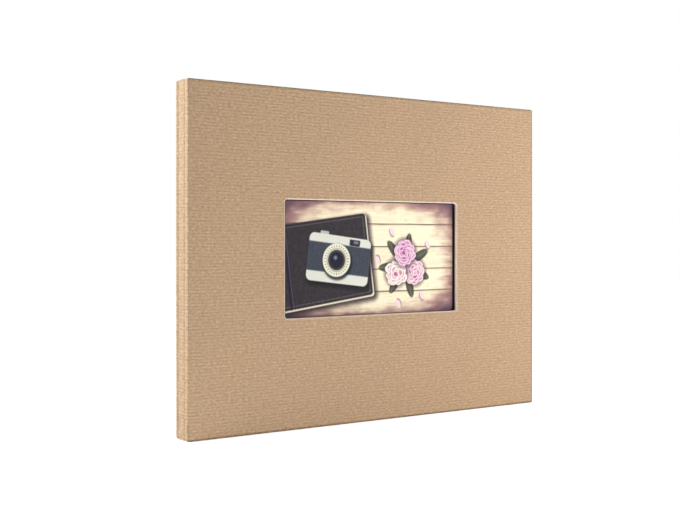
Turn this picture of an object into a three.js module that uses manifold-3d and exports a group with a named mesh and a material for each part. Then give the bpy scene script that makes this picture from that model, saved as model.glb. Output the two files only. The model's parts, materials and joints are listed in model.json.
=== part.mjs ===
// Scrapbook album with a picture window in its front cover, standing on its tail edge.
// Millimetres. +X runs from the spine to the fore edge, +Y from the front cover to the back
// cover, +Z from the tail to the head. The origin is the middle of the footprint, at the tail.

import * as THREE from 'three';
import { mergeVertices } from 'three/addons/utils/BufferGeometryUtils.js';
import Module from 'manifold-3d';

const wasm = await Module();
wasm.setup();

// ---- Driving dimensions -------------------------------------------------------------------

const albumWidth = 300; // spine face to fore edge
const albumHeight = 230; // tail to head

const boardThickness = 1.8; // greyboard of the covers and the spine
const skinThickness = 0.3; // ribbed covering paper
const liningThickness = 0.3; // pastedowns and the cloths of the joints
const glueLine = 0.1; // space left between pieces that are glued together
const grooveWidth = 0.5; // joint between the spine and each cover
const hingeOffset = 0.3; // hinge line of a cover, outside the spine face

const turnInWidth = 15; // covering paper folded over the boards' edges
const liningMargin = 3; // cover edge to pastedown edge
const flangeWidth = 25; // joint cloth glued to each cover board

const windowWidth = 150;
const windowHeight = 80;
const windowShift = -3; // window's centre from the cover's centre, along X
const windowLift = 115; // window's centre above the tail
const windowRadius = 2;

const pictureOverlap = 8; // picture, and paper folded back, behind each side of the window
const pictureThickness = 0.25;
const mountThickness = 0.3; // card that carries the picture
const pictureClearance = 0.5; // mount card to the pocket's sides
const pictureSetback = 0.85; // picture's face behind the window's turn-ins
const mountSetback = 0.15; // mount card in front of the cover's lining
const mountHeadGap = 4; // top of the mount card below the head
const thumbNotchRadius = 12; // half-round notch at the head, inside, for pulling the card

const leafCount = 12; // flyleaves included
const leafThickness = 0.35;
const leafGap = 0.4; // room between leaves for what is pasted in
const leafMargin = 4; // head, tail and fore edge of the leaves inside the covers
const blockClearance = 0.1; // leaves to each cover
const stubWidth = 10; // narrowest bound stub
const foldRelief = 1.2; // stub's free edge to the fold line of its leaf
const foldSetback = 0.2; // fold line to the leaf's own edge
const foldDepth = 0.1; // fold line in front of the leaf's face
const fanClearance = 0.15; // leaf to leaf when the album is wide open
const coverOpening = Math.PI; // how far the front cover opens

const bandRadius = 1.2; // head and tail bands
const curveSegments = 6;

// ---- Positions that follow from them --------------------------------------------------------

const leafPitch = leafThickness + leafGap;
const blockThickness = leafCount * leafPitch + 2 * blockClearance;
const boardInset = skinThickness + glueLine;
const windowDepth = boardInset + boardThickness + glueLine + skinThickness;
const insertThickness = pictureThickness + glueLine + mountThickness;
const pocketDepth = windowDepth + pictureSetback + insertThickness + mountSetback;
const frameThickness = pocketDepth - boardInset - boardThickness - 2 * glueLine;
const frontCore = boardThickness + glueLine + frameThickness;
const innerLayers = boardInset + glueLine + liningThickness;
const frontThickness = boardInset + frontCore + innerLayers;
const backThickness = boardInset + boardThickness + innerLayers;
const albumThickness = frontThickness + blockThickness + backThickness;

const spineX = -albumWidth / 2;
const foreX = albumWidth / 2;
const frontY = -albumThickness / 2;
const blockFrontY = frontY + frontThickness;
const blockBackY = blockFrontY + blockThickness;
const backY = albumThickness / 2;

const spineFrontY = blockFrontY + grooveWidth;
const spineBackY = blockBackY - grooveWidth;
const spineInnerX = spineX + boardInset + boardThickness;
const stubX = spineInnerX + glueLine + liningThickness + glueLine;

// ---- Materials ------------------------------------------------------------------------------

function material(color, roughness = 0.85) {
  return new THREE.MeshStandardMaterial({ color, roughness, metalness: 0 });
}

const kraft = material(0xc7a982, 0.8);
const greyboard = material(0xa89f91, 0.9);
const lining = material(0xd3bd9b);
const cloth = material(0xe6dfd0, 0.95);
const stubCard = material(0x3a3836);
const leafCard = material(0x2c2b2a);
const flyleafPaper = material(0xcdb38c);
const whiteCard = material(0xefece4);
const picture = material(0x7d6660, 0.45);
const bandCloth = material(0xb08a5c, 0.95);

// ---- Shapes ---------------------------------------------------------------------------------

// A rectangle in the cover's plane, from (x0, z0) to (x1, z1), with optional round corners.
function rectangle(x0, x1, z0, z1, radius = 0, Kind = THREE.Shape) {
  const outline = new Kind();
  outline.moveTo(x0 + radius, z0);
  outline.lineTo(x1 - radius, z0);
  if (radius > 0) outline.absarc(x1 - radius, z0 + radius, radius, -Math.PI / 2, 0);
  outline.lineTo(x1, z1 - radius);
  if (radius > 0) outline.absarc(x1 - radius, z1 - radius, radius, 0, Math.PI / 2);
  outline.lineTo(x0 + radius, z1);
  if (radius > 0) outline.absarc(x0 + radius, z1 - radius, radius, Math.PI / 2, Math.PI);
  outline.lineTo(x0, z0 + radius);
  if (radius > 0) outline.absarc(x0 + radius, z0 + radius, radius, Math.PI, 1.5 * Math.PI);
  return outline;
}

// The window's outline, grown by a margin on every side.
function windowOutline(margin, Kind = THREE.Path) {
  const halfWidth = windowWidth / 2 + margin;
  const halfHeight = windowHeight / 2 + margin;
  return rectangle(windowShift - halfWidth, windowShift + halfWidth,
    windowLift - halfHeight, windowLift + halfHeight, windowRadius + margin, Kind);
}

// The cover's outline, pulled in by the same inset on every side.
function coverOutline(inset) {
  return rectangle(spineX + inset, foreX - inset, inset, albumHeight - inset);
}

// A flat sheet of the given outline whose front face lies at y.
function sheet(outline, y, thickness) {
  const geometry = new THREE.ExtrudeGeometry(outline,
    { depth: thickness, bevelEnabled: false, curveSegments });
  geometry.rotateX(Math.PI / 2);
  geometry.translate(0, y + thickness, 0);
  return geometry;
}

function block(x0, x1, y0, y1, z0, z1) {
  const geometry = new THREE.BoxGeometry(x1 - x0, y1 - y0, z1 - z0);
  geometry.translate((x0 + x1) / 2, (y0 + y1) / 2, (z0 + z1) / 2);
  return geometry;
}

function toManifold(geometry) {
  const bare = geometry.clone();
  bare.deleteAttribute('normal');
  bare.deleteAttribute('uv');
  const merged = mergeVertices(bare);
  return new wasm.Manifold(new wasm.Mesh({
    numProp: 3,
    vertProperties: new Float32Array(merged.attributes.position.array),
    triVerts: new Uint32Array(merged.index.array),
  }));
}

// The first geometry with every other one cut away from it.
function cut(base, ...tools) {
  let solid = toManifold(base);
  for (const tool of tools) solid = solid.subtract(toManifold(tool));
  const mesh = solid.getMesh();
  const geometry = new THREE.BufferGeometry();
  geometry.setAttribute('position', new THREE.BufferAttribute(mesh.vertProperties, 3));
  geometry.setIndex(new THREE.BufferAttribute(mesh.triVerts, 1));
  geometry.computeVertexNormals();
  return geometry;
}

function piece(name, geometry, pieceMaterial) {
  const mesh = new THREE.Mesh(geometry, pieceMaterial);
  mesh.name = name;
  return mesh;
}

function group(...pieces) {
  const result = new THREE.Group();
  result.add(...pieces);
  return result;
}

// ---- Covers ---------------------------------------------------------------------------------

// A sheet of a cover, by its depth below the cover's outer face. inward is +1 on the front cover,
// whose depth grows towards +Y, and -1 on the back cover.
function layer(inward, outline, depth, thickness) {
  const y = inward > 0 ? frontY + depth : backY - depth - thickness;
  return sheet(outline, y, thickness);
}

// Cuts for the covering paper of a cover: the room for its boards, and the opening between the
// turn-ins. The paper wraps all four edges and is turned in at head, tail and fore edge.
function coreCuts(inward, coreThickness, boardRoom) {
  const coreBack = boardInset + coreThickness + glueLine;
  const opening = rectangle(spineX + skinThickness, foreX - turnInWidth,
    turnInWidth, albumHeight - turnInWidth);
  return [
    layer(inward, coverOutline(skinThickness), boardRoom, coreBack - boardRoom),
    layer(inward, opening, coreBack - glueLine, 2 * boardInset),
  ];
}

function backCoverPaper() {
  const envelope = layer(-1, coverOutline(0), 0, 2 * boardInset + boardThickness);
  return cut(envelope, ...coreCuts(-1, boardThickness, skinThickness));
}

// Where the picture's mount card lies, seen from the front, and the slot that holds it.
const mountLeft = windowShift - windowWidth / 2 - pictureOverlap;
const mountRight = windowShift + windowWidth / 2 + pictureOverlap;
const mountBottom = windowLift - windowHeight / 2 - pictureOverlap;
const mountTop = albumHeight - mountHeadGap;

function slotOutline() {
  return rectangle(mountLeft - pictureClearance, mountRight + pictureClearance,
    mountBottom - pictureClearance, albumHeight + boardInset);
}

function thumbNotch(depth, thickness) {
  const notch = new THREE.Shape();
  notch.absarc(windowShift, albumHeight, thumbNotchRadius, 0, 2 * Math.PI);
  return layer(1, notch, depth, thickness);
}

// The covering paper of the front cover is folded back round the window as well, and is open at
// the head where the picture slides in.
function frontCoverPaper() {
  const envelope = coverOutline(0);
  envelope.holes.push(windowOutline(0));
  const boardRoom = coverOutline(skinThickness);
  boardRoom.holes.push(windowOutline(skinThickness));
  const behindBoard = coverOutline(skinThickness);
  behindBoard.holes.push(windowOutline(pictureOverlap));
  const boardBack = boardInset + boardThickness;
  const mouth = rectangle(mountLeft - pictureClearance, mountRight + pictureClearance,
    albumHeight - 2 * boardInset, albumHeight + boardInset);
  return cut(
    layer(1, envelope, 0, 2 * boardInset + frontCore),
    layer(1, boardRoom, skinThickness, boardThickness + 2 * glueLine),
    layer(1, behindBoard, boardBack, windowDepth - boardBack + glueLine),
    ...coreCuts(1, frontCore, windowDepth),
    layer(1, mouth, boardBack, pocketDepth - boardBack),
    thumbNotch(boardBack, innerLayers + frontCore),
  );
}

// The card frame behind the board: open at the head, so that the picture slides in from above.
function pocketFrame() {
  const depth = boardInset + boardThickness + glueLine;
  return cut(layer(1, coverOutline(boardInset), depth, frameThickness),
    layer(1, slotOutline(), depth - glueLine, frameThickness + 2 * glueLine));
}

// The joint cloth glued to a cover board, in the layer of the turn-ins.
function jointFlange(inward, coreThickness) {
  const outline = rectangle(spineX + boardInset, spineX + boardInset + flangeWidth,
    turnInWidth + glueLine, albumHeight - turnInWidth - glueLine);
  return layer(inward, outline, boardInset + coreThickness + glueLine, liningThickness);
}

function frontCover() {
  const board = coverOutline(boardInset);
  board.holes.push(windowOutline(boardInset));
  const pastedownDepth = frontThickness - liningThickness;
  const pastedown = layer(1, coverOutline(liningMargin), pastedownDepth, liningThickness);
  const notch = thumbNotch(pastedownDepth - glueLine, liningThickness + 2 * glueLine);
  return group(
    piece('front_cover_paper', frontCoverPaper(), kraft),
    piece('front_cover_board', layer(1, board, boardInset, boardThickness), greyboard),
    piece('picture_pocket_frame', pocketFrame(), greyboard),
    piece('front_joint_flange', jointFlange(1, frontCore), cloth),
    piece('front_pastedown', cut(pastedown, notch), lining),
  );
}

function backCover() {
  const pastedownDepth = backThickness - liningThickness;
  return group(
    piece('back_cover_paper', backCoverPaper(), kraft),
    piece('back_cover_board', layer(-1, coverOutline(boardInset), boardInset, boardThickness), greyboard),
    piece('back_joint_flange', jointFlange(-1, boardThickness), cloth),
    piece('back_pastedown',
      layer(-1, coverOutline(liningMargin), pastedownDepth, liningThickness), lining),
  );
}

function pictureInsert() {
  const pictureDepth = windowDepth + pictureSetback;
  const mountDepth = pictureDepth + pictureThickness + glueLine;
  const pictureTop = windowLift + windowHeight / 2 + pictureOverlap;
  const pictureOutline = rectangle(mountLeft, mountRight, mountBottom, pictureTop);
  const mountOutline = rectangle(mountLeft, mountRight, mountBottom, mountTop);
  return group(
    piece('picture_print', layer(1, pictureOutline, pictureDepth, pictureThickness), picture),
    piece('picture_mount_card', layer(1, mountOutline, mountDepth, mountThickness), whiteCard),
  );
}

// ---- Spine ----------------------------------------------------------------------------------

// The covering paper round the spine board: outer face, both groove sides, and a turn-in at the
// head and at the tail. It is open inwards between the turn-ins.
function spinePaper() {
  const outer = block(spineX, spineInnerX + boardInset, spineFrontY, spineBackY, 0, albumHeight);
  const hollow = block(spineX + skinThickness, spineInnerX + glueLine,
    spineFrontY + skinThickness, spineBackY - skinThickness,
    skinThickness, albumHeight - skinThickness);
  const opening = block(spineInnerX - glueLine, spineInnerX + 2 * boardInset,
    spineFrontY - skinThickness, spineBackY + skinThickness,
    turnInWidth, albumHeight - turnInWidth);
  return cut(outer, hollow, opening);
}

// The cloth folded in a joint, lying in the middle of the groove.
function jointCloth(grooveMiddleY) {
  const half = liningThickness / 2;
  return block(spineX + skinThickness + hingeOffset, spineInnerX,
    grooveMiddleY - half, grooveMiddleY + half, leafMargin, albumHeight - leafMargin);
}

// A half-round cloth band across the end of the bound stubs. up is +1 at the head, -1 at the tail.
function endBand(z, up) {
  const profile = new THREE.Shape();
  profile.moveTo(bandRadius, 0);
  profile.absarc(0, 0, bandRadius, 0, Math.PI);
  const length = spineBackY - spineFrontY;
  const geometry = new THREE.ExtrudeGeometry(profile,
    { depth: length, bevelEnabled: false, curveSegments });
  geometry.rotateX(Math.PI / 2);
  if (up < 0) geometry.rotateY(Math.PI);
  geometry.translate(stubX + bandRadius, spineBackY, z);
  return geometry;
}

function spine() {
  const lowerZ = turnInWidth + glueLine;
  const upperZ = albumHeight - lowerZ;
  const liningX = spineInnerX + glueLine;
  return group(
    piece('spine_paper', spinePaper(), kraft),
    piece('spine_board', block(spineX + boardInset, spineInnerX, spineFrontY + boardInset,
      spineBackY - boardInset, boardInset, albumHeight - boardInset), greyboard),
    piece('spine_lining', block(liningX, liningX + liningThickness, spineFrontY + boardInset,
      spineBackY - boardInset, lowerZ, upperZ), cloth),
    piece('front_joint_cloth', jointCloth((blockFrontY + spineFrontY) / 2), cloth),
    piece('back_joint_cloth', jointCloth((blockBackY + spineBackY) / 2), cloth),
    piece('head_band', endBand(albumHeight - leafMargin + glueLine, 1), bandCloth),
    piece('tail_band', endBand(leafMargin - glueLine, -1), bandCloth),
  );
}

// ---- Leaves ---------------------------------------------------------------------------------

// How far a leaf turns when the front cover is wide open: the leaves fan out evenly.
function leafOpening(index) {
  return coverOpening * (1 - (index + 1) / (leafCount + 1));
}

// The fold line of each leaf. A leaf that turns far past its neighbour in front needs its fold
// a little further from the spine, so that the open leaves lie beside each other.
function foldLines() {
  const lines = [];
  let x = stubX + stubWidth + foldRelief;
  for (let index = 0; index < leafCount; index += 1) {
    const angle = leafOpening(index);
    const step = (leafThickness + fanClearance - leafPitch * Math.cos(angle)) / Math.sin(angle);
    if (index > 0) x += Math.max(0, step);
    lines.push(x);
  }
  return lines;
}

function leafName(index) {
  if (index === 0) return 'front_flyleaf';
  if (index === leafCount - 1) return 'back_flyleaf';
  return `leaf_${String(index).padStart(2, '0')}`;
}

function leaves() {
  const lower = leafMargin;
  const upper = albumHeight - leafMargin;
  const pieces = foldLines().flatMap((foldX, index) => {
    const middleY = blockFrontY + blockClearance + (index + 0.5) * leafPitch;
    const stubHalf = (leafPitch - glueLine) / 2;
    const leafHalf = leafThickness / 2;
    const isFlyleaf = index === 0 || index === leafCount - 1;
    const stub = block(stubX, foldX - foldRelief, middleY - stubHalf, middleY + stubHalf, lower, upper);
    const leaf = block(foldX + foldSetback, foreX - leafMargin,
      middleY - leafHalf, middleY + leafHalf, lower, upper);
    return [
      piece(`stub_${String(index + 1).padStart(2, '0')}`, stub, stubCard),
      piece(leafName(index), leaf, isFlyleaf ? flyleafPaper : leafCard),
    ];
  });
  return group(...pieces);
}

// ---- Assembly -------------------------------------------------------------------------------

const album = group(spine(), frontCover(), backCover(), pictureInsert(), leaves());

// The bound edge and its hinges in numbers, for whoever joints the model: the hinge line of each
// cover and the fold line of each leaf, with how far it turns.
album.userData.hinges = {
  front_cover: { x: spineX - hingeOffset, y: (blockFrontY + spineFrontY) / 2 },
  back_cover: { x: spineX - hingeOffset, y: (blockBackY + spineBackY) / 2 },
  leaves: foldLines().map((x, index) => ({
    x,
    y: blockFrontY + blockClearance + (index + 0.5) * leafPitch - leafThickness / 2 - foldDepth,
    openingShare: leafOpening(index) / coverOpening,
  })),
};

export default album;
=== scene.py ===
"""Scrapbook album with a picture window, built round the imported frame. Metres, +X spine to fore edge,
+Y front cover to back cover, +Z tail to head."""

import json
import math

import bmesh
import bpy
import numpy as np
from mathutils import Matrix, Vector


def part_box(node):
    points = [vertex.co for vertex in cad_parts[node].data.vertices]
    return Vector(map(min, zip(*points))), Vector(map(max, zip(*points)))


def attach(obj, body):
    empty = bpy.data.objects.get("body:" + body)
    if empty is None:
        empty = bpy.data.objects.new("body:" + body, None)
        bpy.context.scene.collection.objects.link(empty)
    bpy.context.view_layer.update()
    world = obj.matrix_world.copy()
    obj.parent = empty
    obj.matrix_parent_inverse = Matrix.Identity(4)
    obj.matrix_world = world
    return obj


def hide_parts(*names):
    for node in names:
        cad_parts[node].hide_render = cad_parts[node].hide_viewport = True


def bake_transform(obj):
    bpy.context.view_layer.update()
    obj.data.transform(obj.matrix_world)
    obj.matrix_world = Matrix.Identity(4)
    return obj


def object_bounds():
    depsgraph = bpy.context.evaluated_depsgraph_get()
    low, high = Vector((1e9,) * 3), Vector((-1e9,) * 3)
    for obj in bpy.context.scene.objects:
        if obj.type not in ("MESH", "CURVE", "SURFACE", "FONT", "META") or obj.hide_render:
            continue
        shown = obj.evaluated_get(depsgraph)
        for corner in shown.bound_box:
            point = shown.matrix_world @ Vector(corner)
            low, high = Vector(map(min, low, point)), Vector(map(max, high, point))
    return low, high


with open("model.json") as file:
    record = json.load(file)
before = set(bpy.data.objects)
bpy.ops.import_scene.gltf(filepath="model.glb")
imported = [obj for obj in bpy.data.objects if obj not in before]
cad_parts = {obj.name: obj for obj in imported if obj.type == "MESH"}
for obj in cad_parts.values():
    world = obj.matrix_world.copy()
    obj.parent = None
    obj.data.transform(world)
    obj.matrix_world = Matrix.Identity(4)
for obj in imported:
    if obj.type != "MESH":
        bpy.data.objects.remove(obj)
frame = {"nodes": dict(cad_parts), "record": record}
cad_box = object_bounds()
MM = 0.001

low, high = cad_box
front_y, back_y = low.y, high.y
spine_x, fore_x = low.x, high.x
head_z = high.z


# ---- Camera ---------------------------------------------------------------------------------------

VIEW_ANGLE = math.radians(34.45)  # the camera looks this far off the front cover's normal
EYE_RIGHT, EYE_BACK, EYE_HEIGHT = 96.0 * MM, 683.2 * MM, 127.5 * MM  # from the spine's front edge
LENS, SENSOR, SHIFT_UP = 57.4, 36.0, -0.029


def make_camera():
    right = Vector((math.cos(VIEW_ANGLE), -math.sin(VIEW_ANGLE), 0))
    ahead = Vector((math.sin(VIEW_ANGLE), math.cos(VIEW_ANGLE), 0))
    data = bpy.data.cameras.new("camera")
    data.lens, data.sensor_width, data.shift_y = LENS, SENSOR, SHIFT_UP
    data.clip_start, data.clip_end = 0.01, 100
    camera = bpy.data.objects.new("camera", data)
    bpy.context.scene.collection.objects.link(camera)
    corner = Vector((spine_x, front_y, 0))
    eye = corner + EYE_RIGHT * right - EYE_BACK * ahead + Vector((0, 0, EYE_HEIGHT))
    camera.location = eye
    camera.rotation_euler = (math.pi / 2, 0, -VIEW_ANGLE)
    bpy.context.scene.camera = camera


make_camera()


# ---- Node helpers ---------------------------------------------------------------------------------


class Nodes:
    """Short calls for building a material's node tree."""

    def __init__(self, name):
        self.material = bpy.data.materials.new(name)
        self.material.use_nodes = True
        self.tree = self.material.node_tree
        self.tree.nodes.clear()
        self.shader = self.tree.nodes.new("ShaderNodeBsdfPrincipled")
        output = self.tree.nodes.new("ShaderNodeOutputMaterial")
        self.tree.links.new(self.shader.outputs[0], output.inputs[0])
        self.place = self.tree.nodes.new("ShaderNodeTexCoord").outputs["Object"]

    def put(self, socket, value):
        if isinstance(value, bpy.types.NodeSocket):
            self.tree.links.new(value, socket)
        else:
            socket.default_value = value

    def math(self, operation, a, b=0.0):
        node = self.tree.nodes.new("ShaderNodeMath")
        node.operation = operation
        self.put(node.inputs[0], a)
        self.put(node.inputs[1], b)
        return node.outputs[0]

    def scaled(self, scale):
        node = self.tree.nodes.new("ShaderNodeMapping")
        self.put(node.inputs["Vector"], self.place)
        node.inputs["Scale"].default_value = scale
        return node.outputs[0]

    def axis(self, name):
        node = self.tree.nodes.new("ShaderNodeSeparateXYZ")
        self.put(node.inputs[0], self.place)
        return node.outputs["XYZ".index(name)]

    def noise(self, scale, detail, roughness=0.55):
        """scale is a number of features per metre along X, Y and Z."""
        node = self.tree.nodes.new("ShaderNodeTexNoise")
        self.put(node.inputs["Vector"], self.scaled(scale))
        node.inputs["Scale"].default_value = 1.0
        node.inputs["Detail"].default_value = detail
        node.inputs["Roughness"].default_value = roughness
        return node.outputs["Fac"]

    def span(self, value, low_in, high_in, low_out=0.0, high_out=1.0):
        node = self.tree.nodes.new("ShaderNodeMapRange")
        for socket, number in zip(node.inputs, (value, low_in, high_in, low_out, high_out)):
            self.put(socket, number)
        return node.outputs[0]

    def mix(self, factor, a, b):
        node = self.tree.nodes.new("ShaderNodeMix")
        node.data_type = "RGBA"
        self.put(node.inputs[0], factor)
        self.put(node.inputs[6], a)
        self.put(node.inputs[7], b)
        return node.outputs[2]

    def bump(self, height, distance, strength=1.0, normal=None):
        node = self.tree.nodes.new("ShaderNodeBump")
        node.inputs["Strength"].default_value = strength
        node.inputs["Distance"].default_value = distance
        self.put(node.inputs["Height"], height)
        if normal is not None:
            self.put(node.inputs["Normal"], normal)
        return node.outputs[0]

    def finish(self, color, roughness, normal=None, **fixed):
        self.put(self.shader.inputs["Base Color"], color)
        self.put(self.shader.inputs["Roughness"], roughness)
        if normal is not None:
            self.put(self.shader.inputs["Normal"], normal)
        for name, value in fixed.items():
            self.shader.inputs[name.replace("_", " ")].default_value = value
        return self.material


def rgb(red, green, blue):
    """A linear colour from sRGB values of 0 to 255."""
    steps = [value / 255 for value in (red, green, blue)]
    return (*[((s + 0.055) / 1.055) ** 2.4 if s > 0.04 else s / 12.92 for s in steps], 1.0)


# ---- Materials ------------------------------------------------------------------------------------

RIB_PITCH = 2.1 * MM
PAINTED_HIGHLIGHT, PAINTED_SHADE = (255, 244, 230), (84, 70, 58)  # the painted highlight and painted shade colours that tone leads to


def ribbed_kraft():
    """Kraft paper with fine level ribs that waver and break, mottled, with short fibre flecks. The
    tone attribute is above 0 for a painted highlight and below 0 for painted shade at edges and folds."""
    n = Nodes("ribbed_kraft_paper")
    waver = n.math("MULTIPLY", n.math("SUBTRACT", n.noise((26, 26, 60), 2), 0.5), 1.0 * MM)
    height = n.math("ADD", n.axis("Z"), waver)
    wave = n.math("SINE", n.math("MULTIPLY", height, 2 * math.pi / RIB_PITCH))
    strength = n.span(n.noise((120, 120, 260), 3), 0.36, 0.64, 0.0, 1.0)
    rib = n.math("ADD", n.math("MULTIPLY", n.math("MULTIPLY", wave, strength), 0.5), 0.5)
    mottle = n.noise((470, 470, 700), 3, roughness=0.6)
    flecks = n.noise((360, 360, 1500), 3, roughness=0.6)
    grain = n.noise((1300, 1300, 1500), 2)
    cloud = n.noise((16, 16, 20), 3)
    base = n.mix(n.span(cloud, 0.35, 0.65), rgb(188, 159, 129), rgb(192, 162, 131))
    # Darker in the ribs' troughs: painted shade in the ribs.
    base = n.mix(n.span(rib, 0.0, 1.0, 0.50, 0.0), base, rgb(138, 108, 78))
    base = n.mix(n.span(mottle, 0.50, 0.66, 0.0, 0.42), base, rgb(146, 112, 84))
    base = n.mix(n.span(mottle, 0.48, 0.34, 0.0, 0.34), base, rgb(214, 190, 160))
    base = n.mix(n.span(flecks, 0.60, 0.72, 0.0, 0.42), base, rgb(118, 86, 58))
    base = n.mix(n.span(flecks, 0.40, 0.28, 0.0, 0.30), base, rgb(226, 204, 174))
    base = n.mix(n.span(grain, 0.35, 0.65, 0.0, 0.16), base, rgb(140, 112, 84))
    # tone mixes in a painted highlight where above 0 and painted shade where below 0, in patches.
    tone = n.tree.nodes.new("ShaderNodeAttribute")
    tone.attribute_name = "tone"
    patchy = n.span(mottle, 0.3, 0.7, 0.55, 1.0)
    pale = n.math("MULTIPLY", n.span(tone.outputs["Fac"], 0.0, 1.0, 0.0, 0.95), patchy)
    dark = n.math("MULTIPLY", n.span(tone.outputs["Fac"], 0.0, -1.0, 0.0, 0.95), patchy)
    base = n.mix(pale, base, rgb(*PAINTED_HIGHLIGHT))
    base = n.mix(dark, base, rgb(*PAINTED_SHADE))
    normal = n.bump(rib, 0.10 * MM, 0.8)
    normal = n.bump(n.math("ADD", flecks, n.math("MULTIPLY", mottle, 0.6)), 0.06 * MM, 0.7, normal)
    return n.finish(base, n.span(flecks, 0.3, 0.7, 0.74, 0.88), normal, Specular_IOR_Level=0.2)


def smooth_paper(name, dark, light, fleck, roughness=0.8):
    """Uncoated paper or card: soft clouds, fibres lying every way, a fine tooth."""
    n = Nodes(name)
    cloud = n.noise((30, 60, 30), 3)
    fibres = n.noise((900, 900, 1300), 4, roughness=0.7)
    tooth = n.noise((2600, 2600, 2600), 2)
    base = n.mix(n.span(cloud, 0.3, 0.7), dark, light)
    base = n.mix(n.span(fibres, 0.58, 0.75, 0.0, 0.4), base, fleck)
    normal = n.bump(n.math("ADD", fibres, n.math("MULTIPLY", tooth, 0.6)), 0.035 * MM, 0.7)
    rough = n.span(fibres, 0.3, 0.7, roughness - 0.06, roughness + 0.08)
    return n.finish(base, rough, normal, Specular_IOR_Level=0.3)


def greyboard():
    n = Nodes("greyboard")
    pulp = n.noise((500, 500, 500), 5, roughness=0.7)
    layers = n.noise((60, 2600, 60), 2)
    specks = n.noise((1400, 1400, 1400), 2)
    base = n.mix(n.span(pulp, 0.3, 0.7), rgb(140, 132, 120), rgb(178, 169, 154))
    base = n.mix(n.span(layers, 0.35, 0.7, 0.0, 0.3), base, rgb(118, 108, 96))
    base = n.mix(n.span(specks, 0.66, 0.74, 0.0, 0.6), base, rgb(70, 64, 60))
    return n.finish(base, 0.9, n.bump(pulp, 0.08 * MM, 0.8), Specular_IOR_Level=0.2)


def cloth(name, thread, gap, pitch):
    """A plain weave: two sets of threads, each over and under the other."""
    n = Nodes(name)
    turn = 2 * math.pi / pitch
    along = n.math("ADD", n.axis("X"), n.axis("Y"))
    warp = n.math("SINE", n.math("MULTIPLY", along, turn))
    weft = n.math("SINE", n.math("MULTIPLY", n.axis("Z"), turn))
    over = n.math("MULTIPLY", warp, weft)
    weave = n.math("ADD", n.math("MULTIPLY", over, 0.5), 0.5)
    slub = n.noise((900, 900, 300), 3)
    # Darker where a thread dips under the other set: painted shade between the threads.
    base = n.mix(weave, gap, thread)
    base = n.mix(n.span(slub, 0.4, 0.75, 0.0, 0.35), base, gap)
    return n.finish(base, 0.92, n.bump(weave, 0.06 * MM, 0.9), Specular_IOR_Level=0.15)


def banded_cloth():
    """The woven end bands: two colours of thread, wound over a core."""
    n = Nodes("end_band_cloth")
    stripe = n.math("SINE", n.math("MULTIPLY", n.axis("Y"), 2 * math.pi / (1.6 * MM)))
    twist = n.noise((3000, 900, 3000), 3)
    base = n.mix(n.span(stripe, -0.15, 0.15), rgb(122, 84, 50), rgb(226, 205, 170))
    base = n.mix(n.span(twist, 0.45, 0.7, 0.0, 0.4), base, rgb(92, 62, 38))
    return n.finish(base, 0.8, n.bump(twist, 0.05 * MM, 0.8), Sheen_Weight=0.15)


def picture_print():
    """The printed picture: its painted colours on satin paper."""
    n = Nodes("picture_print")
    paint = n.tree.nodes.new("ShaderNodeAttribute")
    paint.attribute_name = "paint"
    dots = n.noise((2200, 2200, 2200), 2)
    base = n.mix(n.span(dots, 0.35, 0.65, 0.0, 0.05), paint.outputs["Color"], rgb(90, 70, 70))
    tooth = n.noise((1500, 1500, 1500), 2)
    return n.finish(base, n.span(tooth, 0.3, 0.7, 0.42, 0.5), n.bump(tooth, 0.01 * MM, 0.5),
                    Specular_IOR_Level=0.08)


KRAFT = ribbed_kraft()
MATERIALS = {
    "ribbed_kraft_paper": KRAFT,
    "greyboard": greyboard(),
    "endpaper": smooth_paper("endpaper", rgb(196, 168, 132), rgb(206, 179, 143), rgb(150, 118, 82)),
    "hinge_cloth": cloth("hinge_cloth", rgb(232, 226, 212), rgb(176, 166, 148), 0.7 * MM),
    "end_band_cloth": banded_cloth(),
    "stub_card": smooth_paper("stub_card", rgb(42, 40, 39), rgb(56, 54, 52), rgb(82, 79, 76)),
    "leaf_card": smooth_paper("leaf_card", rgb(36, 35, 34), rgb(46, 45, 44), rgb(70, 68, 66)),
    "white_card": smooth_paper("white_card", rgb(232, 229, 220), rgb(240, 238, 230), rgb(214, 209, 198)),
    "picture_print": picture_print(),
}


def dress_cad_nodes():
    slots = {part["node"]: part["material_slot"] for part in frame["record"]["subparts"]}
    for name, node in frame["nodes"].items():
        node.data.materials.clear()
        node.data.materials.append(MATERIALS[slots[name]])


dress_cad_nodes()


# ---- Mesh helpers ---------------------------------------------------------------------------------

SMOOTH_ANGLE = math.radians(40)  # sharper edges than this stay sharp
SIDE_STEPS, CORNER_STEPS = 14, 5  # of a rounded rectangle


def add_mesh(name, points, faces, material, rounded=True):
    mesh = bpy.data.meshes.new(name)
    mesh.from_pydata([tuple(p) for p in points], [], faces)
    mesh.validate()
    mesh.materials.append(material)
    mesh.polygons.foreach_set("use_smooth", [rounded] * len(mesh.polygons))
    if rounded:
        mesh.set_sharp_from_angle(angle=SMOOTH_ANGLE)
    mesh.update()
    piece = bpy.data.objects.new(name, mesh)
    bpy.context.scene.collection.objects.link(piece)
    return piece


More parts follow.
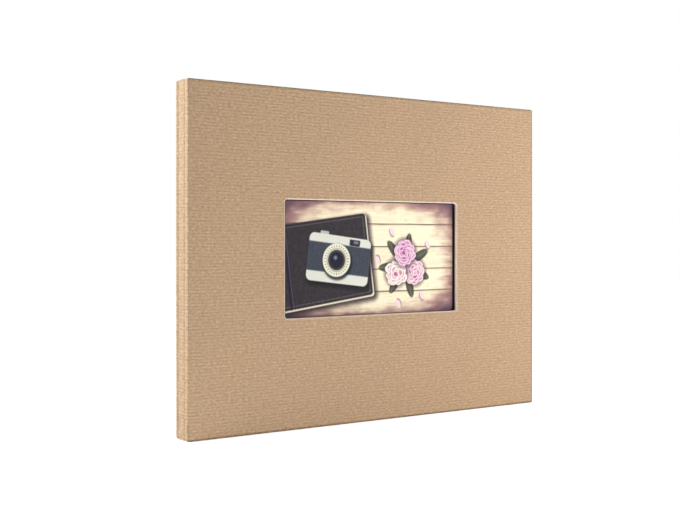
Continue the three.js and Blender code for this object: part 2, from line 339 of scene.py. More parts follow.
def ring(x0, x1, z0, z1, radius, depth):
    """A rounded rectangle at one depth, with the same number of points whatever its size."""
    corners = ((x1, z0, -0.5), (x1, z1, 0.0), (x0, z1, 0.5), (x0, z0, 1.0))
    inward = ((-1, 1), (-1, -1), (1, -1), (1, 1))
    arcs = []
    for (x, z, start), (dx, dz) in zip(corners, inward):
        cx, cz = x + dx * radius, z + dz * radius
        angles = [math.pi * (start + 0.5 * k / CORNER_STEPS) for k in range(CORNER_STEPS + 1)]
        arcs.append([(cx + radius * math.cos(a), cz + radius * math.sin(a)) for a in angles])
    points = []
    for arc, following in zip(arcs, arcs[1:] + arcs[:1]):
        points += arc
        (ax, az), (bx, bz) = arc[-1], following[0]
        for k in range(1, SIDE_STEPS):
            share = k / SIDE_STEPS
            points.append((ax + (bx - ax) * share, az + (bz - az) * share))
    return [(x, depth, z) for x, z in points]


def loft(rings, closed):
    """Faces between rings of equal length. closed joins the last ring to the first; otherwise both
    end rings are filled."""
    count, size = len(rings), len(rings[0])
    faces = []
    for k in range(count if closed else count - 1):
        a, b = k * size, (k + 1) % count * size
        for i in range(size):
            j = (i + 1) % size
            faces.append((a + i, a + j, b + j, b + i))
    if not closed:
        faces.append(tuple(range(size))[::-1])
        faces.append(tuple((count - 1) * size + i for i in range(size)))
    return [point for loop in rings for point in loop], faces


def set_tone(piece, tone_at):
    """Writes a painted highlight (above 0) or painted shade (below 0) into the paper at each point."""
    points = np.empty(len(piece.data.vertices) * 3)
    piece.data.vertices.foreach_get("co", points)
    x, y, z = points.reshape(-1, 3).T
    layer = piece.data.attributes.new("tone", "FLOAT", "POINT")
    layer.data.foreach_set("value", np.clip(tone_at(x, y, z), -1, 1).astype(np.float32))


def fix_normals(piece):
    work = bmesh.new()
    work.from_mesh(piece.data)
    bmesh.ops.recalc_face_normals(work, faces=work.faces)
    work.to_mesh(piece.data)
    work.free()


def cut_away(piece, *cutters):
    """Cuts each cutter's volume out of a piece's mesh."""
    for cutter in cutters:
        fix_normals(cutter)
        modifier = piece.modifiers.new("cut", "BOOLEAN")
        modifier.object, modifier.operation, modifier.solver = cutter, "DIFFERENCE", "EXACT"
        state = bpy.context.evaluated_depsgraph_get()
        result = bpy.data.meshes.new_from_object(piece.evaluated_get(state))
        piece.modifiers.clear()
        piece.data = result
        bpy.data.objects.remove(cutter)
    piece.data.set_sharp_from_angle(angle=SMOOTH_ANGLE)


def prism(name, outline, y0, y1):
    """A solid of one outline in the cover's plane, from depth y0 to y1."""
    rings = [[(x, y, z) for x, z in outline] for y in (y0, y1)]
    points, faces = loft(rings, closed=False)
    return add_mesh(name, points, faces, KRAFT)


# ---- Covering paper -------------------------------------------------------------------------------

PAPER = 0.3 * MM
EDGE_RADIUS = 0.75 * MM  # the paper bends round the boards' edges
CORNER_RADIUS = 1.2 * MM
DARK_EDGE = 1.6 * MM  # how far in from its edges a cover gets painted shade
TURN_IN = 15 * MM  # how far the paper reaches over a board's inside
FACE_RINGS = 10


def quarter(steps=5):
    return [math.pi / 2 * k / steps for k in range(steps + 1)]


def cover_wrap(thickness, radius, inside):
    """The wrapped edge of a cover's paper as (inset, depth) pairs, from the turn-in's end round the
    edge to the outer face. inside is how far the surface lies inside the paper's outer one."""
    turn = max(radius - inside, 0.05 * MM)
    path = [(TURN_IN, thickness - inside)]
    path += [(radius - turn * math.sin(a), thickness - radius + turn * math.cos(a)) for a in quarter()]
    path.append((radius - turn, DARK_EDGE))
    path += [(radius - turn * math.cos(a), radius - turn * math.sin(a)) for a in quarter()]
    return path


def cover_ring(inset, depth, spine_inset, outer_y, inward):
    """A ring of a cover's paper, with its own inset at the spine side."""
    radius = max(CORNER_RADIUS - inset, 0.15 * MM)
    y = outer_y + inward * depth
    return ring(spine_x + spine_inset, fore_x - inset, inset, head_z - inset, radius, y)


def wrap_rings(thickness, inside, outer_y, inward):
    rings = []
    for inset, depth in cover_wrap(thickness, EDGE_RADIUS, inside):
        at_spine = min(inset, EDGE_RADIUS + PAPER)
        rings.append(cover_ring(inset, depth, at_spine, outer_y, inward))
    return rings


def between(first, last, count):
    """Rings evenly spaced between two rings, without the two."""
    shares = [k / (count + 1) for k in range(1, count + 1)]
    a, b = np.array(first), np.array(last)
    return [[tuple(p) for p in a + (b - a) * share] for share in shares]


def picture_mouth(middle_x, thickness):
    """Cutters for the slot in the head that the picture slides out of, and for the half-round
    notch on the inside where a thumb reaches its card."""
    picture_low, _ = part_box("picture_print")
    card_low, card_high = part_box("picture_mount_card")
    side, notch_radius, notch_steps = 0.5 * MM, 12 * MM, 48
    slot_front, slot_back = picture_low.y - 1.1 * MM, card_high.y + 0.12 * MM
    x0, x1 = card_low.x - side, card_high.x + side
    z0, z1 = head_z - 1.2 * MM, head_z + 2 * MM
    slot = prism("slot_cutter", [(x0, z0), (x1, z0), (x1, z1), (x0, z1)], slot_front, slot_back)
    turns = [2 * math.pi * k / notch_steps for k in range(notch_steps)]
    circle = [(middle_x + notch_radius * math.cos(t), head_z + notch_radius * math.sin(t)) for t in turns]
    notch = prism("notch_cutter", circle, slot_front, front_y + thickness + 1 * MM)
    return slot, notch


def outer_edge_tone(x, y, z):
    """Painted shade along a cover's head, tail and fore edge, at its outer corner."""
    outer = np.minimum(np.minimum(z, head_z - z), fore_x - x)
    depth = np.minimum(y - front_y, back_y - y)
    strength = np.where(z > head_z / 2, 0.6, 1.0)  # fainter at the head than at the tail
    return -strength * (1 - smooth(outer, 0.8 * MM, DARK_EDGE)) * (1 - smooth(depth, 0.3 * MM, DARK_EDGE))


def front_cover_paper():
    low_box, high_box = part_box("front_cover_paper")
    thickness = high_box.y - low_box.y
    _, board_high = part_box("front_cover_board")
    window_depth = board_high.y - front_y + 0.1 * MM + PAPER
    opening = frame["record"]["physics"]["openings"][0]["box_m"]
    margin = 0.5 * MM
    x0, x1 = opening[0][0] - margin, opening[1][0] + margin
    z0, z1 = opening[0][2] - margin, opening[1][2] + margin
    picture_low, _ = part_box("picture_print")
    fold_back = x0 - picture_low.x - margin
    window_radius, lip = 2 * MM, 0.5 * MM

    def window_ring(out, depth):
        return ring(x0 - out, x1 + out, z0 - out, z1 + out, window_radius + out, front_y + depth)

    def window_path(inside):
        turn = max(lip - inside, 0.05 * MM)
        path = [(lip - turn * math.sin(a), lip - turn * math.cos(a)) for a in quarter(4)]
        path += [(lip - turn * math.cos(a), window_depth - lip + turn * math.sin(a)) for a in quarter(4)]
        path.append((fold_back, window_depth - inside))
        return [window_ring(out, depth) for out, depth in path]

    outside = wrap_rings(thickness, 0.0, front_y, 1)
    outside.append(cover_ring(DARK_EDGE, 0.0, DARK_EDGE, front_y, 1))
    window_outside = [window_ring(lip + 0.3 * MM, 0.0)] + window_path(0.0)
    inside = wrap_rings(thickness, PAPER, front_y, 1)
    window_inside = window_path(PAPER)
    rings = outside + between(outside[-1], window_outside[0], FACE_RINGS) + window_outside
    rings += window_inside[::-1] + between(window_inside[0], inside[-1], FACE_RINGS) + inside[::-1]
    points, faces = loft(rings, closed=True)
    paper = add_mesh("front_cover_wrap", points, faces, KRAFT)
    fix_normals(paper)
    cut_away(paper, *picture_mouth((x0 + x1) / 2, thickness))

    def tone_at(x, y, z):
        half_x, half_z = (x1 - x0) / 2 - window_radius, (z1 - z0) / 2 - window_radius
        past_x = np.maximum(np.abs(x - (x0 + x1) / 2) - half_x, 0)
        past_z = np.maximum(np.abs(z - (z0 + z1) / 2) - half_z, 0)
        past_window = np.hypot(past_x, past_z) - window_radius
        # A painted highlight on the window's lip and walls.
        lip_highlight = 1 - smooth(past_window, 0.15 * MM, lip + 0.2 * MM)
        return lip_highlight + outer_edge_tone(x, y, z)

    set_tone(paper, tone_at)
    return paper


def back_cover_paper():
    low_box, high_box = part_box("back_cover_paper")
    thickness = high_box.y - low_box.y
    outside = wrap_rings(thickness, 0.0, back_y, -1)
    inside = wrap_rings(thickness, PAPER, back_y, -1)
    middle = 40 * MM
    centre = cover_ring(middle, 0.0, middle, back_y, -1)
    centre_inside = cover_ring(middle, PAPER, middle, back_y, -1)
    outside.append(cover_ring(DARK_EDGE, 0.0, DARK_EDGE, back_y, -1))
    rings = [centre] + between(centre, outside[-1], FACE_RINGS) + outside[::-1]
    rings += inside + between(inside[-1], centre_inside, FACE_RINGS) + [centre_inside]
    points, faces = loft(rings, closed=False)
    paper = add_mesh("back_cover_wrap", points, faces, KRAFT)
    fix_normals(paper)
    set_tone(paper, outer_edge_tone)
    return paper


# ---- The picture ----------------------------------------------------------------------------------
# A generic still life: a plain camera on a notebook, with flowers beside it, on pale planks. It is
# painted in millimetres right of and below the window's top left corner.

VIEW_WIDE, VIEW_HIGH = 150.0, 80.0
PAINT_STEP = 0.4 * MM
PLANK = 16.0  # width of one plank
# Colour of the painted shade round the window's inner edge.
RECESS_SHADE = 24, 22, 28
BUNCH = 104, 46  # the middle of the roses
BLOOMS = (((244, 218, 222), (184, 66, 146)), ((248, 236, 224), (206, 100, 156)),
          ((238, 200, 220), (150, 30, 118)))  # each rose's pale and deep colour


def smooth(value, low_edge, high_edge):
    t = np.clip((value - low_edge) / (high_edge - low_edge), 0, 1)
    return t * t * (3 - 2 * t)


def value_noise(x, y, seed, octaves=3):
    """Smooth noise of 0 to 1 at each point, the same every run."""
    total, weight = np.zeros_like(x), 0.0
    for octave in range(octaves):
        scale, share = 2.0 ** octave, 0.5 ** octave
        px, py = x * scale + 17.3 * octave, y * scale + 9.1 * octave
        ix, iy = np.floor(px), np.floor(py)
        fx, fy = smooth(px - ix, 0, 1), smooth(py - iy, 0, 1)

        def corner(dx, dy):
            dot = (ix + dx) * 127.1 + (iy + dy) * 311.7 + seed * 74.7
            return np.modf(np.abs(np.sin(dot) * 43758.5453))[0]

        top = corner(0, 0) * (1 - fx) + corner(1, 0) * fx
        bottom = corner(0, 1) * (1 - fx) + corner(1, 1) * fx
        total += share * (top * (1 - fy) + bottom * fy)
        weight += share
    return total / weight


def box(x, y, wide, high, radius, soft=0.25):
    """Inside of a rounded rectangle about the origin."""
    away_x = np.maximum(np.abs(x) - wide / 2 + radius, 0)
    away_y = np.maximum(np.abs(y) - high / 2 + radius, 0)
    return 1 - smooth(np.hypot(away_x, away_y) - radius, -soft, soft)


def disc(x, y, radius, soft=0.25):
    return 1 - smooth(np.hypot(x, y), radius - soft, radius + soft)


def hoop(x, y, radius, width, soft=0.25):
    return 1 - smooth(np.abs(np.hypot(x, y) - radius), width / 2 - soft, width / 2 + soft)


class Canvas:
    """The colour of each point, painted over in layers."""

    def __init__(self, x, y):
        self.x, self.y = x, y
        self.color = np.zeros(x.shape + (3,))

    def fill(self, mask, color, strength=1.0):
        share = np.clip(mask * strength, 0, 1)[..., None]
        self.color = self.color * (1 - share) + np.asarray(color, float) * share

    def turned(self, centre, angle):
        """Each point's place in a frame at centre, turned by angle."""
        dx, dy = self.x - centre[0], self.y - centre[1]
        return dx * math.cos(angle) + dy * math.sin(angle), dy * math.cos(angle) - dx * math.sin(angle)

    def grained(self, size, seed, color, depth):
        """A colour with fine grain in it, for each point."""
        grain = value_noise(self.x / size, self.y / size, seed, 3)[..., None]
        return np.array(color, float) + depth * (grain - 0.5)


def paint_planks(art):
    x, y = art.x, art.y
    grain = value_noise(x / 26, y / 1.1, 3, 4)[..., None] - 0.35
    fine = value_noise(x / 9, y / 0.45, 5, 2)[..., None] - 0.5
    art.color = np.array((243, 231, 200.0)) - 16 * grain - 10 * fine * np.array((1, 1.1, 1.3))
    number = np.floor(y / PLANK)
    art.color += 4 * np.sin(2.4 * number)[..., None]
    wander = 0.25 * (value_noise(x / 14, number, 7, 2) - 0.5)
    into = y - PLANK * np.round(y / PLANK) - wander
    art.fill(1 - smooth(np.abs(into), 0.25, 0.6), (62, 48, 46), 0.85)
    art.fill(smooth(into, -0.2, 0.3) * (1 - smooth(into, 0.3, 2.2)), (208, 186, 150), 0.5)
    art.fill(smooth(value_noise(x / 5, y / 0.8, 11, 3), 0.68, 0.8), (196, 168, 128), 0.35)


def paint_vignette(art):
    """The print darkens towards all its edges, with blotches as on an old print."""
    x, y = art.x, art.y
    blotch = value_noise(x / 9, y / 4, 13, 4) - 0.5
    streak = value_noise(x / 14, y / 0.9, 15, 3) - 0.5
    across = (x - VIEW_WIDE / 2) / (VIEW_WIDE / 2)
    down = (y - VIEW_HIGH / 2) / (VIEW_HIGH / 2)
    reach = np.sqrt(across ** 6 + down ** 6 + (across * down) ** 2)
    art.fill(smooth(reach + 0.5 * blotch + 0.25 * streak, 0.45, 1.25), (150, 104, 100), 0.85)
    art.fill(smooth(reach + 0.4 * blotch, 0.85, 1.6), (84, 64, 84), 0.9)


def paint_notebook(art):
    """A closed notebook with a leather cover, a stitched edge and an elastic band."""
    wide, high, middle, tilt = 76, 58, (34, 42), -0.13
    x, y = art.turned(middle, tilt)
    art.fill(box(x - 2, y - 2.5, wide + 3, high + 3, 4, 3), (46, 34, 40), 0.9)
    art.fill(box(x - 1.0, y - 1.2, wide, high, 2), (222, 212, 190))
    art.fill(box(x, y, wide, high, 2.5), art.grained(1.3, 21, (50, 45, 50), 18))
    stitch = box(x, y, wide - 4, high - 4, 1.5) * (1 - box(x, y, wide - 5, high - 5, 1))
    art.fill(stitch, (150, 136, 122), 0.8 * (0.5 + 0.5 * np.sin((x + y) * 3.4)))
    art.fill(box(x + 30, y, 3, high, 0.2), (34, 28, 46), 0.9)
    art.fill(box(x + 29, y, 0.5, high, 0.2), (110, 102, 128), 0.7)


def paint_camera(art):
    """A plain camera from the front: pale plates above and below a dark grip, and a round lens."""
    wide, high, middle, tilt = 52, 33, (46, 41), 0.12
    x, y = art.turned(middle, tilt)
    art.fill(box(x - 1.2, y - 2.2, wide + 2, high + 2, 5, 2.5), (20, 16, 22), 0.75)
    art.fill(box(x + 14, y + 17, 7, 3, 0.8), (176, 180, 172))
    art.fill(box(x, y, wide, high, 4), (214, 214, 202))
    art.fill(box(x, y + 0.5, wide + 0.5, 20, 0.3), art.grained(0.9, 31, (60, 66, 78), 20))
    for edge in (-9.5, 10.5):
        art.fill(box(x, y + edge, wide, 0.5, 0.1), (120, 118, 112), 0.8)
    art.fill(box(x - 12, y + 13, 9, 4.4, 0.8), (38, 38, 48))
    art.fill(box(x - 13, y + 13.4, 4, 2, 0.6, 0.6), (150, 154, 180), 0.7)
    lens_x, lens_y = x + 2, y - 0.5
    art.fill(disc(x + 1.2, y - 1.8, 12.6, 1.2), (20, 18, 24), 0.8)
    art.fill(disc(lens_x, lens_y, 11.6), (226, 222, 200))
    marks = smooth(np.cos(np.arctan2(lens_y, lens_x) * 30), 0.55, 0.8)
    art.fill(hoop(lens_x, lens_y, 9.6, 1.3) * marks, (84, 78, 74), 0.8)
    art.fill(hoop(lens_x, lens_y, 8.0, 0.5), (116, 108, 98), 0.8)
    art.fill(disc(lens_x, lens_y, 7.2), (34, 32, 36))
    art.fill(hoop(lens_x, lens_y, 6.2, 0.6), (96, 92, 92), 0.7)
    art.fill(disc(lens_x, lens_y, 4.8), (24, 26, 44))
    art.fill(disc(lens_x + 1.2, lens_y + 1.6, 1.5, 0.7), (132, 138, 172), 0.8)


def paint_rose(art, centre, radius, pale, deep, seed):
    """A rose from above: rings of round petals laid over each other, the smallest on top, each with
    a pale lip and a deeper heart."""
    pale, deep = np.array(pale, float), np.array(deep, float)
    ragged = value_noise(art.x / 2.2 + seed, art.y / 2.2, seed, 3) - 0.5
    streak = value_noise(art.x / 1.1, art.y / 1.1 + seed, seed + 1, 2) - 0.5
    gap = np.hypot(art.x - centre[0], art.y - centre[1])
    art.fill(1 - smooth(gap / radius, 0.9, 1.35), (40, 24, 34), 0.5)
    petal_rings = ((8, 0.60, 0.40, 0.25), (7, 0.42, 0.38, 0.50), (6, 0.25, 0.33, 0.75), (4, 0.10, 0.24, 1.0))
    for number, reach, size, depth in petal_rings:
        for k in range(number):
            angle = 2 * math.pi * (k + 0.37 * seed) / number + reach * 5
            px = centre[0] + radius * reach * math.cos(angle)
            py = centre[1] + radius * reach * math.sin(angle)
            span = radius * size * (1 + 0.16 * math.sin(3.1 * k + seed))
            away = np.hypot(art.x - px, (art.y - py) * 1.08) / span + 0.34 * ragged
            inside = 1 - smooth(away, 0.94, 1.06)
            lip = smooth(away, 0.50, 0.95)[..., None]
            blush = depth * (0.55 + 0.45 * math.sin(1.7 * k + 2 * seed))
            heart = pale * (1 - blush) + deep * blush
            shade = heart * (0.86 + 0.35 * streak[..., None]) * (1 - lip) + (pale + 6) * lip
            art.fill((1 - smooth(away, 1.0, 1.22)) * (1 - inside), (132, 66, 100), 0.38)
            art.fill(inside, shade)


def paint_flowers(art):
    """A loose bunch of roses with dark leaves, and petals strewn round it."""
    middle_x, middle_y = BUNCH
    for k in range(7):
        angle = 2 * math.pi * k / 7 + 0.4
        x, y = art.turned((middle_x + 15 * math.cos(angle), middle_y + 15 * math.sin(angle)), angle)
        leaf = 1 - smooth(np.hypot(x / 9, y / 3.4), 0.9, 1.05)
        art.fill(leaf, (64, 66, 56), 0.9)
        art.fill(leaf * (1 - smooth(np.abs(y), 0.1, 0.6)), (126, 128, 104), 0.6)
    for k in range(5):
        angle = 2.4 * k + 0.9
        x, y = art.turned((middle_x + 25 * math.cos(angle), middle_y + 28 * math.sin(angle)), 1.3 * angle)
        art.fill(1 - smooth(np.hypot((x - 0.5) / 3.4, (y - 0.7) / 2.0), 0.8, 1.2), (112, 84, 76), 0.6)
        art.fill(1 - smooth(np.hypot(x / 3.2, y / 1.8), 0.9, 1.05), (240, 206, 214))
    for k, (pale, deep) in enumerate(BLOOMS):
        angle = 2 * math.pi * k / 3 + 0.5
        place = (middle_x + 9.5 * math.cos(angle), middle_y + 9.5 * math.sin(angle))
        paint_rose(art, place, 9.8, pale, deep, 3 + 2 * k)


def paint_picture(x, y):
    art = Canvas(x, y)
    paint_planks(art)
    paint_vignette(art)
    paint_notebook(art)
    paint_camera(art)
    paint_flowers(art)
    # Dark round the window's inner edge and beyond it: painted shade of the window's recess on the print.
    border = np.minimum(np.minimum(x - 2.2, VIEW_WIDE - 1.4 - x), np.minimum(y - 0.6, VIEW_HIGH + 0.4 - y))
    art.fill(1 - smooth(border, -0.3, 0.3), RECESS_SHADE, 0.92)
    return np.clip(art.color, 0, 255)


# ---- Joints ---------------------------------------------------------------------------------------

STRIP = 0.18 * MM  # thickness of the joint papers and cloths


def strip_sides(path, thickness):
    """The two sides of a thin strip that follows a path in the XY plane."""
    points = np.array(path)
    along = np.gradient(points, axis=0)
    along /= np.linalg.norm(along, axis=1)[:, None]
    across = np.stack([-along[:, 1], along[:, 0]], axis=1) * thickness / 2
    return points + across, points - across


def strip_piece(name, path, z0, z1, material, rows=40):
    """A strip of paper or cloth that follows a path in the XY plane, from z0 up to z1."""
    left, right = strip_sides(path, STRIP)
    section = np.concatenate([left, right[::-1]])
    rings = []
    for z in np.linspace(z0, z1, rows + 1):
        rings.append([(x, y, z) for x, y in section])
    points, faces = loft(rings, closed=False)
    piece = add_mesh(name, points, faces, material)
    fix_normals(piece)
    return piece


def curve(points, steps=8):
    """A smooth line through points (Catmull-Rom)."""
    ends = [points[0]] + list(points) + [points[-1]]
    path = []
    for a, b, c, d in zip(ends, ends[1:], ends[2:], ends[3:]):
        a, b, c, d = (np.array(p, float) for p in (a, b, c, d))
        for k in range(steps):
            t = k / steps
            p = 2 * b + (c - a) * t + (2 * a - 5 * b + 4 * c - d) * t**2 + (3 * b - a - 3 * c + d) * t**3
            path.append(tuple(p / 2))
    return path + [tuple(points[-1])]


def joint_strips(side, gap_cover, gap_spine):
    """The covering paper and the lining cloth that join one cover to the spine. The paper dips
    between the two edges and the cloth is folded further in."""
    out = -1 if side == "front" else 1
    middle = (gap_cover + gap_spine) / 2
    tuck = 0.45 * MM * out
    x = spine_x
    paper = [
        (x + 0.45 * MM, gap_cover + tuck), (x + 0.14 * MM, gap_cover + tuck * 0.9),
        (x + 0.22 * MM, gap_cover + out * 0.02 * MM), (x + 0.60 * MM, middle),
        (x + 0.22 * MM, gap_spine - out * 0.02 * MM), (x + 0.14 * MM, gap_spine - tuck * 0.9),
        (x + 0.45 * MM, gap_spine - tuck),
    ]
    outer = strip_piece(f"{side}_joint_paper", curve(paper), 0.3 * MM, head_z - 0.3 * MM, KRAFT)
    crease_shade = 0.0 if side == "front" else 1.0  # only the back crease gets painted shade
    set_tone(outer, lambda px, py, pz: -crease_shade * smooth(px, x + 0.16 * MM, x + 0.35 * MM))
    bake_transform(outer)

    cloth_low, cloth_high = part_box(f"{side}_joint_cloth")
    cover_side, spine_side = gap_cover - out * 0.16 * MM, gap_spine + out * 0.14 * MM
    folded = [
        (x + 2.9 * MM, cover_side), (x + 1.6 * MM, cover_side), (x + 1.0 * MM, cover_side),
        (x + 0.86 * MM, middle), (x + 1.05 * MM, spine_side), (x + 1.6 * MM, spine_side),
        (cloth_high.x, spine_side),
    ]
    inner = strip_piece(f"{side}_joint_lining", curve(folded), cloth_low.z, cloth_high.z,
                        MATERIALS["hinge_cloth"])
    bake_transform(inner)
    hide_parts(f"{side}_joint_cloth")


# ---- Spine ----------------------------------------------------------------------------------------


def spine_wrap():
    """The covering paper round the spine board, rounded where it bends over the board's edges."""
    low_box, high_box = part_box("spine_paper")
    depth = high_box.x - low_box.x
    radius = 0.9 * MM

    def spine_ring(inset, x, inside_cut):
        side = min(inset, inside_cut)
        corner = max(1.5 * MM - inset, 0.1 * MM)
        flat = ring(low_box.y + side, high_box.y - side, inset, head_z - inset, corner, 0)
        return [(low_box.x + x, y, z) for y, _, z in flat]

    def path(inside):
        turn = max(radius - inside, 0.05 * MM)
        steps = [(TURN_IN, depth - inside)]
        steps += [(radius - turn * math.sin(a), depth - radius + turn * math.cos(a)) for a in quarter()]
        steps += [(radius - turn * math.cos(a), radius - turn * math.sin(a)) for a in quarter()]
        return [spine_ring(inset, x, radius + PAPER) for inset, x in steps]

    outside, inside = path(0.0), path(PAPER)
    centre, inner_centre = spine_ring(3 * MM, 0.0, 3 * MM), spine_ring(3 * MM, PAPER, 3 * MM)
    rings = [centre] + outside[::-1] + inside + [inner_centre]
    points, faces = loft(rings, closed=False)
    paper = add_mesh("spine_wrap", points, faces, KRAFT)
    fix_normals(paper)
    # Painted shade along the spine's head and tail edges.
    set_tone(paper, lambda x, y, z: -0.5 * (1 - smooth(np.minimum(z, head_z - z), 0.1 * MM, radius)))
    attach(paper, "spine")
    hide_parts("spine_paper")


def end_bands():
    """The cloth bands at the head and tail of the stubs: thread wound over a core."""
    wraps, per_wrap, around = 11, 8, 14
    for name in ("head_band", "tail_band"):
        low_box, high_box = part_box(name)
        up = 1 if name == "head_band" else -1
        base_z = low_box.z if up > 0 else high_box.z
        radius = (high_box.x - low_box.x) / 2
        centre_x = (low_box.x + high_box.x) / 2
        rings = []
        for k in range(wraps * per_wrap + 1):
            share = k / (wraps * per_wrap)
            bulge = abs(math.sin(math.pi * wraps * share)) ** 0.5
            r = radius * (0.86 + 0.14 * bulge)
            y = low_box.y + (high_box.y - low_box.y) * share
            loop = []
            for i in range(around + 1):
                angle = math.pi * i / around
                slant = 0.10 * MM * math.cos(angle)
                y_here = min(max(y + slant, low_box.y), high_box.y)
                loop.append((centre_x + r * math.cos(angle), y_here, base_z + up * r * math.sin(angle)))
            rings.append(loop)
        points, faces = loft(rings, closed=False)
        band = add_mesh(f"{name}_winding", points, faces, MATERIALS["end_band_cloth"])
        fix_normals(band)
        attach(band, "spine")
        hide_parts(name)


# ---- Leaves ---------------------------------------------------------------------------------------


FOLD_REACH = 1.4 * MM  # finely divided, from the fold line
WAVE = 0.22 * MM  # how far a leaf strays from flat


def leaf_sheet(name, index):
    """One leaf, from inside its stub across its fold to the fore edge, with a slight waviness."""
    low_box, high_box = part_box(name)
    _, stub_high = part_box(f"stub_{index + 1:02d}")
    fold_x = low_box.x - 0.2 * MM
    near = np.linspace(stub_high.x - 0.25 * MM, fold_x, 5)[:-1]
    fold = np.linspace(fold_x, fold_x + FOLD_REACH, 13)[:-1]
    rest = np.linspace(fold_x + FOLD_REACH, high_box.x, 42)
    xs = np.concatenate([near, fold, rest])
    zs = np.linspace(low_box.z, high_box.z, 34)
    gx, gz = np.meshgrid(xs, zs, indexing="ij")
    reach = smooth(gx, fold_x + 2 * MM, fold_x + 40 * MM)
    wave = value_noise(gx / (70 * MM) + 3 * index, gz / (60 * MM), 40 + index, 2) - 0.5
    offset = WAVE * wave * reach
    rows, columns = gx.shape
    points, faces = [], []
    for y in (low_box.y, high_box.y):
        points += [(a, y + b, c) for a, b, c in zip(gx.ravel(), offset.ravel(), gz.ravel())]
    count = rows * columns
    for side in range(2):
        for i in range(rows - 1):
            for j in range(columns - 1):
                a = side * count + i * columns + j
                quad = (a, a + columns, a + columns + 1, a + 1)
                faces.append(quad if side == 0 else quad[::-1])
    border = [i * columns for i in range(rows)]
    border += [(rows - 1) * columns + j for j in range(1, columns)]
    border += [i * columns + columns - 1 for i in range(rows - 2, -1, -1)]
    border += list(range(columns - 2, 0, -1))
    for a, b in zip(border, border[1:] + border[:1]):
        faces.append((a, b, b + count, a + count))
    is_flyleaf = name.endswith("flyleaf")
    slot = "endpaper" if is_flyleaf else "leaf_card"
    sheet = add_mesh(f"{name}_sheet", points, faces, MATERIALS[slot])
    fix_normals(sheet)
    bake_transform(sheet)
    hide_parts(name)


def make_leaves():
    names = ["front_flyleaf"] + [f"leaf_{k:02d}" for k in range(1, 11)] + ["back_flyleaf"]
    for index, name in enumerate(names):
        leaf_sheet(name, index)


# ---- Picture print --------------------------------------------------------------------------------


def picture_sheet():
    """The print: a sheet with its picture painted on a fine grid of points."""
    low_box, high_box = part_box("picture_print")
    opening = frame["record"]["physics"]["openings"][0]["box_m"]
    left = opening[0][0] - 0.5 * MM
    top = opening[1][2] + 0.5 * MM
    xs = np.linspace(low_box.x, high_box.x, math.ceil((high_box.x - low_box.x) / PAINT_STEP))
    zs = np.linspace(low_box.z, high_box.z, int((high_box.z - low_box.z) / PAINT_STEP))
    gx, gz = np.meshgrid(xs, zs, indexing="ij")
    rows, columns = gx.shape
    colors = paint_picture((gx.ravel() - left) / MM, (top - gz.ravel()) / MM)
    front = np.stack([gx.ravel(), np.full(gx.size, low_box.y), gz.ravel()], axis=1)
    corners = [(x, high_box.y, z) for x in (low_box.x, high_box.x) for z in (low_box.z, high_box.z)]
    i, j = np.meshgrid(np.arange(rows - 1), np.arange(columns - 1), indexing="ij")
    a = (i * columns + j).ravel()
    faces = np.stack([a, a + columns, a + columns + 1, a + 1], axis=1).tolist()
    back = [rows * columns + k for k in range(4)]
    last_row = (rows - 1) * columns
    faces.append((back[0], back[1], back[3], back[2]))
    faces.append(list(range(columns)) + [back[1], back[0]])
    faces.append([last_row + k for k in range(columns)] + [back[3], back[2]])
    faces.append([k * columns for k in range(rows)] + [back[2], back[0]])
    faces.append([k * columns + columns - 1 for k in range(rows)] + [back[3], back[1]])
    sheet = add_mesh("picture_sheet", list(front) + corners, faces, MATERIALS["picture_print"])
    fix_normals(sheet)
    paint = sheet.data.color_attributes.new("paint", "FLOAT_COLOR", "POINT")
    srgb = np.concatenate([colors, np.full((4, 3), 236.0)]) / 255
    linear = np.where(srgb > 0.04, ((srgb + 0.055) / 1.055) ** 2.4, srgb / 12.92)
    paint.data.foreach_set("color", np.concatenate([linear, np.ones((len(linear), 1))], axis=1).ravel())
    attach(sheet, "picture")
    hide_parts("picture_print")


# ---- The album ------------------------------------------------------------------------------------

front_wrap = front_cover_paper()
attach(front_wrap, "front_cover")
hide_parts("front_cover_paper")
back_wrap = back_cover_paper()
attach(back_wrap, "back_cover")
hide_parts("back_cover_paper")
spine_wrap()
joint_strips("front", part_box("front_cover_paper")[1].y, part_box("spine_paper")[0].y)
joint_strips("back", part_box("back_cover_paper")[0].y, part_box("spine_paper")[1].y)
end_bands()
make_leaves()
picture_sheet()


# ---- Floor and light ------------------------------------------------------------------------------

SIDE_LIGHT, TOP_LIGHT, LEFT_LIGHT = 0.0, 0.48, 0.20  # what the surroundings give from each way
FLOOR_GLOW = 0.66  # keeps the floor as white as its surroundings


def make_floor():
    size = 6.0
    points = [(-size, -size, 0), (size, -size, 0), (size, size, 0), (-size, size, 0)]
    n = Nodes("floor")
    n.finish(rgb(244, 244, 243), 0.9, Specular_IOR_Level=0.1, Emission_Strength=FLOOR_GLOW,
             Emission_Color=(1, 1, 1, 1))
    floor = add_mesh("floor", points, [(0, 1, 2, 3)], n.material, rounded=False)
    floor.location.z = -0.2 * MM


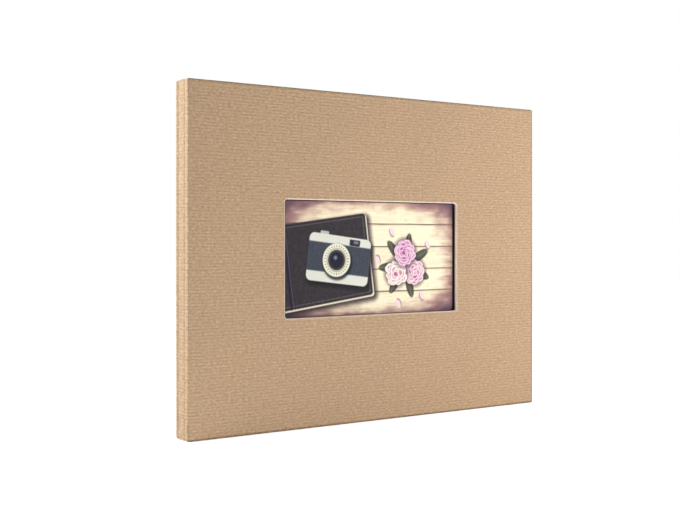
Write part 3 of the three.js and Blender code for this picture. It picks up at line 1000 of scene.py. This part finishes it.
def area_light(name, place, target, width, height, watts, color=(1, 1, 1)):
    data = bpy.data.lights.new(name, "AREA")
    data.shape, data.size, data.size_y = "RECTANGLE", width, height
    data.energy, data.color = watts, color
    light = bpy.data.objects.new(name, data)
    light.location = place
    light.rotation_euler = (Vector(target) - Vector(place)).to_track_quat("-Z", "Y").to_euler()
    bpy.context.scene.collection.objects.link(light)


def make_world():
    """White where the camera sees it. Its light comes mostly from above and from the left."""
    world = bpy.data.worlds.new("world")
    world.use_nodes = True
    nodes, links = world.node_tree.nodes, world.node_tree.links
    background = nodes["Background"]

    def span(value, low_in, high_in, low_out, high_out):
        node = nodes.new("ShaderNodeMapRange")
        node.interpolation_type = "SMOOTHSTEP"
        links.new(value, node.inputs[0])
        for socket, number in zip(node.inputs[1:5], (low_in, high_in, low_out, high_out)):
            socket.default_value = number
        return node.outputs[0]

    def combine(operation, a, b):
        node = nodes.new("ShaderNodeMath")
        node.operation = operation
        links.new(a, node.inputs[0])
        links.new(b, node.inputs[1])
        return node.outputs[0]

    direction = nodes.new("ShaderNodeSeparateXYZ")
    links.new(nodes.new("ShaderNodeTexCoord").outputs["Generated"], direction.inputs[0])
    above = span(direction.outputs[2], 0.15, 0.75, SIDE_LIGHT, TOP_LIGHT)
    from_left = span(direction.outputs[0], -0.35, -0.95, 0.0, LEFT_LIGHT)
    glow = combine("ADD", above, from_left)
    seen = span(nodes.new("ShaderNodeLightPath").outputs["Is Camera Ray"], 0, 1, 0, 1)
    mix = nodes.new("ShaderNodeMix")
    links.new(seen, mix.inputs[0])
    links.new(glow, mix.inputs[2])
    mix.inputs[3].default_value = 1.0
    links.new(mix.outputs[0], background.inputs["Strength"])
    background.inputs["Color"].default_value = (1, 1, 1, 1)
    bpy.context.scene.world = world


make_floor()
make_world()
area_light("right", (0.40, -0.40, 0.115), (0.08, 0, 0.115), 0.4, 0.4, 2.5)
area_light("left", (-0.60, 0.17, 0.58), (-0.15, 0, 0.20), 0.35, 0.35, 6.2, (0.88, 0.95, 1.0))
bpy.context.scene.view_settings.view_transform = "Standard"
